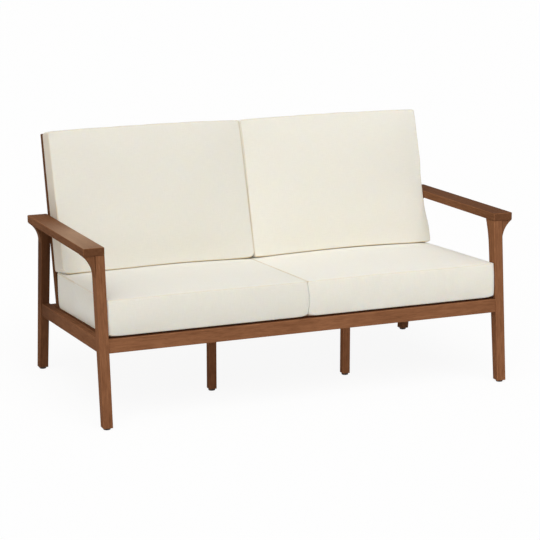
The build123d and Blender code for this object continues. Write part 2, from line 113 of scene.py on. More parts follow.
class Signal:
    """One value in a node tree. Python's arithmetic on it adds Math nodes."""

    def __init__(self, sheet, socket):
        self.sheet = sheet
        self.socket = socket

    def maths(self, operation, *others):
        """A Math node with this value in its first socket and the others behind it."""
        return self.sheet.node("ShaderNodeMath", {"operation": operation}, dict(enumerate((self, *others))))

    def __add__(self, other):
        return self.maths("ADD", other)

    __radd__ = __add__

    def __mul__(self, other):
        return self.maths("MULTIPLY", other)

    __rmul__ = __mul__

    def __sub__(self, other):
        return self.maths("SUBTRACT", other)

    def __rsub__(self, other):
        return self.sheet.node("ShaderNodeMath", {"operation": "SUBTRACT"}, {0: other, 1: self})

    def __truediv__(self, other):
        return self.maths("DIVIDE", other)

    def above(self, low, high):
        """0 below low, 1 over high, and a straight slope between."""
        sockets = {"Value": self, "From Min": low, "From Max": high}
        return self.sheet.node("ShaderNodeMapRange", {"clamp": True}, sockets)


class Sheet:
    """A node tree that is built up node by node."""

    def __init__(self, tree):
        self.tree = tree
        tree.nodes.clear()

    def node(self, kind, settings=None, sockets=None, output=0):
        """One node: its settings first, then the value or link of each socket named. Gives one output."""
        made = self.tree.nodes.new(kind)
        for name, value in (settings or {}).items():
            setattr(made, name, value)
        for name, value in (sockets or {}).items():
            if isinstance(value, Signal):
                self.tree.links.new(value.socket, made.inputs[name])
            else:
                made.inputs[name].default_value = value
        return Signal(self, made.outputs[output]) if made.outputs else None

    def rays(self, *kinds):
        """1 for rays of the kinds named, and 0 for the rest."""
        first, *others = [self.node("ShaderNodeLightPath", output=f"Is {kind} Ray") for kind in kinds]
        for other in others:
            first = first.maths("MAXIMUM", other)
        return first


class Finish(Sheet):
    """The nodes of one material."""

    def __init__(self, name):
        self.material = bpy.data.materials.new(name)
        self.material.use_nodes = True
        super().__init__(self.material.node_tree)

    def place(self):
        """The point on the piece, in metres."""
        return self.node("ShaderNodeTexCoord", output="Object")

    def measure(self, vector, direction, offset=0.0):
        """How far a point lies along a direction, in metres."""
        sockets = {0: vector, 1: tuple(direction)}
        return self.node("ShaderNodeVectorMath", {"operation": "DOT_PRODUCT"}, sockets, "Value") + offset

    def vector(self, x, y, z=0.0):
        return self.node("ShaderNodeCombineXYZ", None, {"X": x, "Y": y, "Z": z})

    def noise(self, vector, scale, detail=2.0, roughness=0.5):
        sockets = {"Vector": vector, "Scale": scale, "Detail": detail, "Roughness": roughness}
        return self.node("ShaderNodeTexNoise", None, sockets)

    def line_noise(self, value, scale, detail=1.0):
        """Noise that changes along one direction only."""
        settings = {"noise_dimensions": "1D"}
        return self.node("ShaderNodeTexNoise", settings, {"W": value, "Scale": scale, "Detail": detail})

    def attribute(self, name):
        return self.node("ShaderNodeAttribute", {"attribute_name": name}, None, "Fac")

    def mix(self, share, first, second, blend="MIX"):
        settings = {"data_type": "RGBA", "blend_type": blend}
        return self.node("ShaderNodeMix", settings, {0: share, 6: first, 7: second}, 2)

    def bump(self, height, distance, strength=1.0, under=None):
        sockets = {"Height": height, "Distance": distance, "Strength": strength}
        if under is not None:
            sockets["Normal"] = under
        return self.node("ShaderNodeBump", None, sockets)

    def surface(self, **sockets):
        """The Principled BSDF and the material's output."""
        named = {name.replace("_", " "): value for name, value in sockets.items()}
        shader = self.node("ShaderNodeBsdfPrincipled", None, named)
        self.node("ShaderNodeOutputMaterial", None, {"Surface": shader})
        return self.material


def coat(node, material):
    """Gives a CAD node its finish."""
    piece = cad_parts[node]
    if not piece.material_slots:
        piece.data.materials.append(None)
    for holder in piece.material_slots:
        holder.link = "OBJECT"
        holder.material = material


def nodes_with(*words):
    return [name for name in sorted(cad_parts) if any(word in name for word in words)]


# Finishes


def hardwood(name, grain, settings, seed, tone=1.0, sheen_patch=0.0, top_shade=0.0, upright_shadow=0.0, groove=0.0, rear_shade=0.0):
    """Stained hardwood: growth rings round a pith beside the board, fibres, pores, dark ends, and rounded
    edges made lighter partly by wear and partly by a painted highlight.

    tone is how light the board is, partly its own lightness and partly painted light and shade; sheen_patch
    is how strongly a painted sheen lightens the front of its top, top_shade how strongly painted shade
    darkens its top, upright_shadow how much painted shadow darkens an upright above a height under the
    armrest, and rear_shade how much painted shade darkens a rail towards its rear. groove is the side, -1 or
    1, on which a corbel stands against a leg, where a painted shadow line runs along the leg's edge.
    """
    finish = Finish(name)
    grain = grain.normalized()
    shift = noise.noise_vector(Vector((seed * 3.17, 0.4, 1.9)))
    side = Matrix.Rotation(shift.x * pi, 3, grain) @ grain.orthogonal().normalized()
    place = finish.place()
    across = finish.measure(place, side, 0.09 + 0.05 * shift.y)
    through = finish.measure(place, grain.cross(side), 0.03 * shift.z)
    along = finish.measure(place, grain, seed * 0.37)

    def stretched(share):
        """The point with its distance along the grain shortened, which draws a noise out along it."""
        return finish.vector(across, through, along * share)

    wander = finish.noise(stretched(0.22), 9.0, 2.0)
    radius = (across * across + through * through).maths("POWER", 0.5) + wander * 0.030
    ring = finish.noise(finish.vector(radius, 0.0), settings.ring_scale, 1.0)
    fibre = finish.noise(stretched(0.05), settings.fibre_scale, 4.0, 0.62)
    streak = finish.noise(stretched(0.18), settings.fibre_scale * 0.24, 2.0)
    cloud = finish.noise(place, 7.0, 1.0)
    pore = finish.noise(stretched(0.03), settings.fibre_scale * 2.6, 1.0).above(0.60, 0.72)
    facing = finish.node("ShaderNodeNewGeometry", output="Normal")
    end = finish.measure(facing, grain).maths("ABSOLUTE").above(0.75, 0.95)
    growth = (ring - 0.5) * 0.65 + (fibre - 0.5) * 0.9 + (streak - 0.5) * 0.65 + (cloud - 0.5) * 0.55 + 0.5
    light, dark = linear(settings.light), linear(settings.dark)
    # the tone is partly the board's own lightness and partly painted light and shade
    board = tone * (1 + 0.06 * shift.y)
    colour = finish.mix(growth.above(0.05, 0.95), shade(dark, board), shade(light, board))
    colour = finish.mix(pore * 0.45, colour, shade(dark, PORE))
    colour = finish.mix(end * 0.36, colour, shade(dark, END_GRAIN))
    top = finish.measure(facing, UPWARD).above(0.6, 0.95)
    # painted shade darkening the top faces
    if top_shade:
        colour = finish.mix(top * top_shade, colour, shade(dark, SHADED_TOP))
    # a painted sheen, lightening the top towards its front
    if sheen_patch:
        forward = finish.measure(place, FORWARD)
        sheen_colour = top * forward.above(*SHEEN_GROWS) * (1.0 - forward.above(*SHEEN_EASES) * 0.24)
        sheen_colour = sheen_colour * (wander.above(0.30, 0.62) * 0.45 + 0.55) * (fibre * 0.6 + 0.7)
        colour = finish.mix(sheen_colour * sheen_patch, colour, linear(settings.sheen_colour))
    # painted shadow on an upright above a height, a little stronger on its left face
    if upright_shadow:
        shaded = finish.measure(place, UPWARD).above(*UPRIGHT_SHADOW_GROWS)
        outward = finish.measure(facing, LEFTWARD).above(0.3, 0.7)
        colour = finish.mix(shaded * (outward * 0.17 + 0.83) * upright_shadow, colour, shade(dark, IN_SHADOW))
    # painted shade on a rail, darker towards its rear
    if rear_shade:
        rearward = finish.measure(place, REARWARD).above(*REAR_SHADE_GROWS)
        colour = finish.mix(rearward * rear_shade, colour, shade(dark, REAR_SHADED))
    if "corbel" not in name:  # a corbel's hollow curve faces between its directions too, and isn't an edge
        edges = rounded_edge(finish, facing, grain)
        # rounded edges made lighter, partly by wear and partly as a painted highlight
        worn_and_highlit = edges * (fibre.above(0.35, 0.65) * 0.5 + 0.5)
        colour = finish.mix(worn_and_highlit * settings.edge_wear_and_highlight, colour, shade(light, board * 1.45))
        # a painted shadow line along the leg's outer edge where the corbel stands, above a height
        if groove:
            beside = finish.measure(facing, (groove, 0.0, 0.0)).above(0.1, 0.4)
            beside = beside * finish.measure(place, UPWARD).above(*CORBEL_SHADOW_GROWS)
            colour = finish.mix(edges * beside, colour, shade(dark, BESIDE_CORBEL))
    return finish.surface(
        Base_Color=colour, Roughness=fibre * 0.16 + pore * 0.12 + (settings.roughness + 0.10),
        Specular_IOR_Level=settings.sheen, Normal=finish.bump(fibre * 0.35 - pore, 0.00012, 0.6),
    )


def rounded_edge(finish, facing, grain):
    """1 on the rounded edges of a board, where its surface faces between its own three directions."""
    axis = Vector((1.0, 0.0, 0.0)) if abs(grain.x) < 0.7 else Vector((0.0, 1.0, 0.0))
    flank = (axis - grain * axis.dot(grain)).normalized()
    flat = None
    for direction in (grain, flank, grain.cross(flank)):
        share = finish.measure(facing, direction).maths("ABSOLUTE")
        flat = share if flat is None else flat.maths("MAXIMUM", share)
    return (1.0 - flat).above(0.04, 0.20)


def canvas(name, settings, tone=1.0, side_shade=None):
    """Woven outdoor canvas: crossed threads with slubs, puckers beside the seams and painted warm shade along
    them.

    side_shade is the colour of the painted warm shade on the boxing at the left end, away from its seams.
    """
    finish = Finish(name)
    cut = finish.node("ShaderNodeUVMap", {"uv_map": "cut"})
    spread = finish.node("ShaderNodeSeparateXYZ", None, {0: cut}, "X")
    rise = finish.node("ShaderNodeSeparateXYZ", None, {0: cut}, "Y")
    warp, weft = spread / settings.thread, rise / settings.thread
    over = ((warp.maths("FLOOR") + weft.maths("FLOOR")) * 0.5).maths("FRACT") * 2.0
    warp_round = (warp.maths("FRACT") * pi).maths("SINE") * (over * 0.6 + 0.4)
    weft_round = (weft.maths("FRACT") * pi).maths("SINE") * (1.0 - over * 0.6)
    weave = warp_round.maths("MAXIMUM", weft_round)
    slub_across = finish.noise(finish.vector(spread * 0.06, rise), 620.0, 2.0)
    slub_up = finish.noise(finish.vector(spread, rise * 0.06), 620.0, 2.0)
    slub = (slub_across + slub_up) * 0.5
    cloud = finish.noise(finish.vector(spread, rise), 9.0, 2.0)
    # the tone lightens or darkens a whole cover as painted light
    cloth = shade(linear(settings.colour), tone)
    colour = finish.mix(slub.above(0.32, 0.68), shade(cloth, 0.955), shade(cloth, 1.02))
    colour = finish.mix((1.0 - weave) * 0.10, colour, shade(cloth, 0.72))
    colour = finish.mix(cloud.above(0.35, 0.65) * 0.35, colour, shade(cloth, 0.965))
    # painted warm shade on the left end's boxing
    if side_shade:
        colour = finish.mix(finish.attribute("flank"), colour, side_shade, "MULTIPLY")
    # painted warm shade along the seams, deepest in the creases
    colour = finish.mix(finish.attribute("seam") * settings.seam_shade_strength, colour, linear(settings.seam_shade_colour))
    gathers = finish.line_noise(spread, 70.0) * finish.attribute("gather_u")
    gathers = gathers + finish.line_noise(rise, 95.0) * finish.attribute("gather_v")
    soft = finish.bump(gathers, 0.0022, 0.8)
    fine = finish.bump(weave * 0.7 + slub * 0.6, settings.thread * 0.22, 0.5, soft)
    return finish.surface(
        Base_Color=colour, Roughness=0.95 - weave * 0.12, Specular_IOR_Level=0.2, Sheen_Weight=0.12,
        Sheen_Roughness=0.5, Subsurface_Weight=0.40, Subsurface_Radius=(1.0, 0.78, 0.50),
        Subsurface_Scale=0.014, Normal=fine,
    )


def moulded(name, colour):
    """Dark moulded plastic with a fine eroded texture and scuffs."""
    finish = Finish(name)
    place = finish.place()
    grit = finish.noise(place, 1500.0, 2.0)
    scuff = finish.noise(place, 90.0, 3.0, 0.7).above(0.5, 0.75)
    base = linear(colour)
    shaded = finish.mix(scuff * 0.4, base, shade(base, 1.9))
    return finish.surface(
        Base_Color=shaded, Roughness=scuff * 0.2 + 0.45, Specular_IOR_Level=0.4,
        Normal=finish.bump(grit, 0.00008, 0.6),
    )


def turned_metal(name, colour, roughness):
    """Plated metal with fine turning lines and dull patches."""
    finish = Finish(name)
    place = finish.place()
    lines = finish.noise(place, 2200.0, 1.0)
    dull = finish.noise(place, 160.0, 3.0, 0.65)
    base = linear(colour)
    shaded = finish.mix(dull.above(0.4, 0.7), base, shade(base, 0.78))
    return finish.surface(
        Base_Color=shaded, Metallic=1.0, Roughness=dull * 0.25 + lines * 0.1 + roughness - 0.15,
        Normal=finish.bump(lines, 0.00004, 0.5),
    )


def bare_wood(name, colour):
    """Unfinished wood with short flecks."""
    finish = Finish(name)
    fleck = finish.noise(finish.place(), 700.0, 3.0, 0.6)
    base = linear(colour)
    shaded = finish.mix(fleck.above(0.35, 0.7), base, shade(base, 0.82))
    return finish.surface(
        Base_Color=shaded, Roughness=fleck * 0.1 + 0.6, Normal=finish.bump(fleck, 0.0001, 0.5),
    )


# Cushions, in metres

FLUSH = 1e-6
CUTS = (0.0007, 0.0018, 0.0042, 0.0090, 0.0170)  # from a seam
# Widths of the seam line, which is drawn in and takes painted warm shade, and of the hem's painted crease
# shade; the fade of the painted side shade from its seam; and the reach of the puckers.
SEAM_WIDTH, HEM_WIDTH, SIDE_SHADE_FADE, GATHER_REACH = 0.0024, 0.0060, 0.0042, 0.030
BOXING_GATHER = 0.28  # share of the gathers that is left half-way up the boxing
SIDE_STRIP, END_STRIP = (2.0, 1.0), (4.0, 1.0)  # where the boxing lies on the pattern
PUFF_FRAMES = 20
TOUCHING = 0.003  # how near a neighbour a seam counts as lying against it
TOUCHED_SEAM_SHADE = 0.55  # share of a hem's painted shade that such a seam shows

# How the foot of a back cushion is let down onto the seat, which rays find inside its rounded borders.
SEAT_ROUND_SIDE, SEAT_ROUND_REAR = 0.012, 0.016
RAY_START, RAY_LENGTH = 0.06, 0.2
FOOT_SEAM, FOOT_HEIGHT, FOOT_FADE = 0.004, 0.030, 0.050  # heights over the foot
FOOT_GAP, SOLE_GAP, SOLE_MOVE = 0.0003, 0.0001, 0.0012

# Where the cushions stand, how large they are and where each two meet.
BETWEEN_LEGS = 0.6457  # from the middle of the bench to the inner faces of its legs
SEAT_TILT = radians(3.4)
SEAT_CORNER = Vector((0.0, -0.33754, 0.270))
SEAT_BACKWARD, SEAT_UPWARD = 0.27095, 0.0598  # from that corner to a cushion's middle
SEAT_LONG, SEAT_THICK = 0.5319, 0.1130
SEAT_SPLIT, SEAT_BULGE, SEAT_GAP = -0.0030, 0.0032, 0.0003
BACK_RECLINE = radians(13.8)
BACK_FOOT = Vector((0.0, 0.22548, 0.23655))
BACK_UPWARD, BACK_FORWARD = 0.33227, 0.0243  # from that foot to the middle of a cushion's rear panel
BACK_LONG, BACK_THICK, HEAD_SHARE = 0.4500, 0.0980, 0.65 / 0.98
BACK_SPLIT, BACK_LEAN, HEAD_LEAN, BACK_GAP = 0.0060, 0.0008, 0.0009, 0.0002


def smooth_step(value, low, high):
    share = min(1.0, max(0.0, (value - low) / (high - low)))
    return share * share * (3 - 2 * share)


def border(share, start):
    """0 in the middle of a size, growing from a place on it to 1 at its ends."""
    return smooth_step(abs(share), start, 1.0)


def dome(share, side_power, end_power):
    """1 in the middle of a panel, 0 along its seams."""
    return max(0.0, 1 - abs(share.x) ** side_power) * max(0.0, 1 - abs(share.y) ** end_power)


def wave(point, seed, size, amount):
    """A slow, small unevenness."""
    return noise.noise(point / size + Vector((seed, seed * 0.7, 0.0))) * amount


def spaced(length, step):
    """Places of the cuts across a side: close beside both seams, then evenly spread."""
    middle = length - 2 * CUTS[-1]
    count = max(1, ceil(middle / step))
    even = [CUTS[-1] + middle * i / count for i in range(1, count)]
    return list(CUTS) + even + [length - place for place in reversed(CUTS)]


def mark_seams(mesh, half, settings):
    """Marks how near the points of a flat-sided box are to a seam, and which the filling can't move."""
    names = ("seam", "hem", "flank", "gather_u", "gather_v")
    seam, hem, flank, gather_u, gather_v = [mesh.verts.layers.float.new(name) for name in names]
    held = mesh.verts.layers.deform.verify()
    for vert in mesh.verts:
        to_side, to_end, to_panel = [half[k] - abs(vert.co[k]) for k in range(3)]
        panel = to_panel < FLUSH
        off = min(to_side, to_end) if panel else to_panel
        # painted warm shade along each seam, weaker where nothing lies against it; it also sets how far the
        # seam is drawn in
        vert[seam] = settings.free_seam_shade * max(0.0, 1.0 - off / SEAM_WIDTH)
        vert[hem] = max(0.0, 1.0 - off / HEM_WIDTH)
        # painted warm shade on the left end's boxing, growing away from its seams
        if to_side < FLUSH and vert.co.x < 0:
            vert[flank] = min(1.0, to_panel / SIDE_SHADE_FADE)
        if panel:
            vert[gather_v] = max(0.0, 1.0 - to_side / GATHER_REACH) ** 2
            vert[gather_u] = max(0.0, 1.0 - to_end / GATHER_REACH) ** 2
        elif to_side < FLUSH or to_end < FLUSH:
            near = max(0.0, 1.0 - to_panel / GATHER_REACH) ** 2
            vert[gather_u] = BOXING_GATHER + (1 - BOXING_GATHER) * near
        if panel and (off < FLUSH or vert.co.z < 0):
            vert[held][0] = 1.0


def lay_out(mesh):
    """Lays the panels and the boxing of a flat-sided box out as one pattern, which the weave follows."""
    cut = mesh.loops.layers.uv.new("cut")
    for face in mesh.faces:
        facing = max(range(3), key=lambda k: abs(face.normal[k]))
        for loop in face.loops:
            x, y, z = loop.vert.co
            if facing == 2:
                loop[cut].uv = (x, y)
            else:
                along, strip = ((y, SIDE_STRIP), (x, END_STRIP))[facing]
                loop[cut].uv = (along + strip[0], z + strip[1])


def rounded(point, half, settings):
    """Where a point of a flat-sided box goes once its corners and the edges along its seams are round."""
    corner, edge = settings.corner, settings.edge
    flat = Vector((point.x, point.y))
    core = Vector([max(-(half[k] - corner), min(half[k] - corner, point[k])) for k in (0, 1)])
    spoke = flat - core
    if spoke.length < FLUSH:
        return point
    inward, down = corner - max(abs(spoke.x), abs(spoke.y)), half[2] - abs(point.z)
    if inward < edge and down < edge:
        arc = Vector((edge - inward, edge - down)).normalized() * edge
        inward, down = edge - arc.x, edge - arc.y
    flat = core + spoke.normalized() * (corner - inward)
    return Vector((flat.x, flat.y, copysign(half[2] - down, point.z)))


def boxed_cushion(name, sizes, settings, shape):
    """A boxed cushion as one closed mesh, cut finely beside its seams.

    sizes are across, long and thick. shape turns a point of the cushion about its own middle, and where it is
    from -1 to 1 along each size, into its place on the bench.
    """
    half = [size / 2 for size in sizes]
    mesh = bmesh.new()
    bmesh.ops.create_cube(mesh, size=1.0)
    bmesh.ops.scale(mesh, vec=Vector(sizes), verts=mesh.verts)
    for axis in range(3):
        normal = Vector([1.0 if k == axis else 0.0 for k in range(3)])
        for place in spaced(sizes[axis], settings.panel_step):
            bmesh.ops.bisect_plane(
                mesh, geom=mesh.verts[:] + mesh.edges[:] + mesh.faces[:], dist=FLUSH,
                plane_co=normal * (place - half[axis]), plane_no=normal,
            )
    mark_seams(mesh, half, settings)
    lay_out(mesh)
    for vert in mesh.verts:
        vert.co = rounded(vert.co.copy(), half, settings)
        vert.co = shape(vert.co, Vector([vert.co[k] / half[k] for k in range(3)]))
    bmesh.ops.recalc_face_normals(mesh, faces=mesh.faces)
    data = bpy.data.meshes.new(name)
    mesh.to_mesh(data)
    mesh.free()
    cushion = bpy.data.objects.new(name, data)
    bpy.context.collection.objects.link(cushion)
    cushion.vertex_groups.new(name="held")
    return cushion


def puff(cushion, settings, freedom):
    """Blows the cover up against its seams in the cloth simulation, within the largest move allowed.

    freedom gives the share of its move that a point may make.
    """
    before = [vert.co.copy() for vert in cushion.data.vertices]
    cloth = cushion.modifiers.new("Cover", "CLOTH")
    cover = cloth.settings
    cover.quality = 6
    cover.mass = 0.15
    cover.tension_stiffness = cover.compression_stiffness = 12
    cover.shear_stiffness = 4
    cover.bending_stiffness = 1.2
    cover.shrink_min = -settings.ease
    cover.use_pressure = True
    cover.uniform_pressure_force = settings.pressure
    cover.effector_weights.gravity = 0
    cover.vertex_group_mass = "held"
    cloth.point_cache.frame_start = 1
    cloth.point_cache.frame_end = PUFF_FRAMES
    scene = bpy.context.scene
    for step in range(1, PUFF_FRAMES + 1):
        scene.frame_set(step)
    puffed = cushion.evaluated_get(bpy.context.evaluated_depsgraph_get()).data
    after = [vert.co.copy() for vert in puffed.vertices]
    cushion.modifiers.remove(cloth)
    scene.frame_set(1)
    moves = evened(cushion, [end - start for start, end in zip(before, after)], 3)
    for vert, start, move in zip(cushion.data.vertices, before, moves):
        if not vert.groups:
            share = freedom(start) * settings.puff_limit / (settings.puff_limit + move.length)
            vert.co = start + move * share


def evened(cushion, moves, rounds):
    """The moves of a cushion's vertices, each averaged with its neighbours' a few times."""
    for _ in range(rounds):
        sums, counts = [move.copy() for move in moves], [1] * len(moves)
        for edge in cushion.data.edges:
            first, second = edge.vertices
            sums[first] += moves[second]
            sums[second] += moves[first]
            counts[first] += 1
            counts[second] += 1
        moves = [total / count for total, count in zip(sums, counts)]
    return moves


def press_sides(cushion, outer, split, furthest, gap):
    """Flattens a cushion against its neighbour, and at its outer side against what stands there.

    split and furthest give an x at a point, and outer is -1 for the left cushion and 1 for the right one. A
    seam takes more painted shade where it lies against something, as in a crease.
    """
    attributes = cushion.data.attributes
    for vert, seam, hem in zip(cushion.data.vertices, attributes["seam"].data, attributes["hem"].data):
        least, most = sorted((outer * furthest(vert.co), split(vert.co) + outer * gap))
        if min(vert.co.x - least, most - vert.co.x) < TOUCHING:
            seam.value = max(seam.value, TOUCHED_SEAM_SHADE * hem.value)
        vert.co.x = min(max(vert.co.x, least), most)


def rest_foot(cushion, seats, up, rear, settings, raised):
    """Lets the foot of a back cushion down onto the seat cushions, and lifts what is sunk in them.

    raised is 1 where the two lower corners stay off the seat, and 0 where they go down with the rest.
    """
    verts, faces = [], []
    for seat in seats:
        start = len(verts)
        verts += [vert.co.copy() for vert in seat.data.vertices]
        faces += [[start + index for index in face.vertices] for face in seat.data.polygons]
    tree = BVHTree.FromPolygons(verts, faces)
    sides = max(abs(vert.x) for vert in verts) - SEAT_ROUND_SIDE
    heel = max(vert.y for vert in verts) - SEAT_ROUND_REAR
    foot = min(vert.co.dot(up) for vert in cushion.data.vertices)
    heights = [vert.co.dot(up) - foot for vert in cushion.data.vertices]
    at_foot = [vert.co.x for vert, height in zip(cushion.data.vertices, heights) if height < FOOT_HEIGHT]
    ends = min(at_foot), max(at_foot)
    attributes = cushion.data.attributes
    # the seams along the foot take the full painted shade of the crease with the seat
    for height, seam, hem in zip(heights, attributes["seam"].data, attributes["hem"].data):
        if height < FOOT_SEAM:
            seam.value = hem.value

    def above_seat(point, height):
        """How far a point stands over the seat cushions along the recline, or None beside them."""
        start = point + up * RAY_START
        start.x = min(max(start.x, -sides), sides)
        behind = (point - up * height).y - heel
        if behind > 0:
            start -= rear * (behind / rear.y)
        hit = tree.ray_cast(start, -up, RAY_LENGTH)[0]
        return None if hit is None else (start - hit).dot(up) - RAY_START

    def down(point):
        """Share of its way down that a point goes, which is less at corners that stay raised."""
        return 1 - raised * (1 - smooth_step(min(point.x - ends[0], ends[1] - point.x), 0.002, 0.016))

    moves = []
    for vert, height in zip(cushion.data.vertices, heights):
        share = (1 - smooth_step(height, settings.edge, FOOT_FADE)) * down(vert.co)
        over = above_seat(vert.co, height) if share > 0 else None
        drop = 0.0 if over is None else min(settings.drop, over - height - FOOT_GAP)
        moves.append(-up * share * drop)
    for vert, move in zip(cushion.data.vertices, evened(cushion, moves, 2)):
        vert.co += move
    cushion.data.update()
    normals = [vert.normal.copy() for vert in cushion.data.vertices]
    for vert, height, normal in zip(cushion.data.vertices, heights, normals):
        share = smooth_step(-normal.dot(up), 0.25, 0.60) * down(vert.co)
        over = above_seat(vert.co, height) if share > 0 and height < FOOT_HEIGHT else None
        if over is not None:
            vert.co -= up * share * min(SOLE_MOVE, max(-SOLE_MOVE, over - SOLE_GAP))


def sink_seams(cushion, depth):
    """Draws each seam in by its depth and smooths the cover with one subdivision."""
    data = cushion.data
    seam = data.attributes["seam"].data
    normals = [vert.normal.copy() for vert in data.vertices]
    for vert, value, normal in zip(data.vertices, seam, normals):
        vert.co -= normal * depth * value.value
    smooth = cushion.modifiers.new("Smooth", "SUBSURF")
    smooth.levels = smooth.render_levels = 1
    bpy.context.view_layer.update()
    finished = bpy.data.meshes.new_from_object(cushion.evaluated_get(bpy.context.evaluated_depsgraph_get()))
    cushion.modifiers.remove(smooth)
    cushion.data = finished
    finished.name = cushion.name
    for face in finished.polygons:
        face.use_smooth = True


def dress_cushion(cushion, side, kind, settings):
    """Puts a finished cushion on its body, in place of its plain solids."""
    cushion.data.materials.clear()
    cushion.data.materials.append(canvas(f"{kind}_canvas_{side}", settings, **COVERS[f"{kind}_{side}"]))
    node = f"{kind}_cushion_{side}"
    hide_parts(f"{node}_cover", f"{node}_core")
    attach(cushion, node)


def swelling_side(share):
    """1 on the stretch of a seat cushion's outer side where no leg or armrest holds it in."""
    return smooth_step(share, -0.88, -0.50) * smooth_step(-share, -0.40, -0.05)


def sew_seat(side, settings):
    """Sews a seat cushion, fills it, presses it into its place and puts it on its body."""
    back = Vector((0.0, cos(SEAT_TILT), -sin(SEAT_TILT)))
    up = Vector((0.0, sin(SEAT_TILT), cos(SEAT_TILT)))
    seed, outer = (3.0, -1.0) if side == "left" else (8.0, 1.0)
    low, high = sorted((outer * BETWEEN_LEGS, SEAT_SPLIT))
    middle = Vector(((low + high) / 2, 0.0, 0.0)) + SEAT_CORNER + back * SEAT_BACKWARD + up * SEAT_UPWARD

    def split(point):
        """Where the two cushions meet: the left one bulges over the right one, alike along the slide."""
        height = (point - SEAT_CORNER).dot(up)
        return SEAT_SPLIT + SEAT_BULGE * smooth_step(height, 0.0, 0.05) * smooth_step(-height, -0.115, -0.06)

    def furthest(point):
        """Outer side: beside the legs and armrests the cushion stays between them."""
        share = ((point - SEAT_CORNER).dot(back) / SEAT_LONG) * 2 - 1
        return BETWEEN_LEGS + 0.010 * swelling_side(share)

    def shape(point, share):
        x, y, z = point
        belly = 1 - share.z * share.z
        outside = x * outer > 0
        z += smooth_step(share.z, -0.2, 1.0) * dome(share, 2.3, 3.2) * settings.seat_crown
        swell = belly * 0.009 * swelling_side(share.y) if outside else belly * 0.006
        x += copysign(border(share.x, 0.92), x) * swell
        folds = wave(Vector((x, 0.0, 0.0)), seed + 2, 0.034, 0.0016)
        folds += wave(Vector((x, 0.3, 0.0)), seed, 0.09, 0.0012)
        y += copysign(border(share.y, 0.90), y) * belly * (0.004 + folds)
        if z < 0:  # the lower edges round up from the rails, most of all at the rear
            end_rise = 0.013 if y > 0 else 0.0040 + 0.0050 * border(share.x, 0.92)
            side_rise = 0.0025 * (1 - share.y) if outside else 0.0
            rise = max(end_rise * border(share.y, 0.90) ** 2, side_rise * border(share.x, 0.94) ** 2)
            z += rise * smooth_step(-share.z, 0.2, 1.0)
        loose = smooth_step(share.z, -0.9, -0.2)  # the panel on the slats stays even
        spot = Vector((x, y, z))
        y += wave(spot, seed + 5, 0.30, 0.0020) * loose
        z += wave(spot, seed + 9, 0.26, 0.0034) * loose * (0.35 + 0.65 * dome(share, 6.0, 6.0))
        return middle + Vector((x, 0.0, 0.0)) + back * y + up * z

    def freedom(point):
        """The back cushions weigh down the rear of a seat cushion."""
        return 1.0 - 0.75 * smooth_step((point - SEAT_CORNER).dot(back), 0.33, 0.44)

    sizes = (high - low, SEAT_LONG, SEAT_THICK)
    cushion = boxed_cushion(f"seat_cushion_{side}_sewn", sizes, settings, shape)
    puff(cushion, settings, freedom)
    press_sides(cushion, outer, split, furthest, SEAT_GAP)
    sink_seams(cushion, settings.seam_depth)
    dress_cushion(cushion, side, "seat", settings)


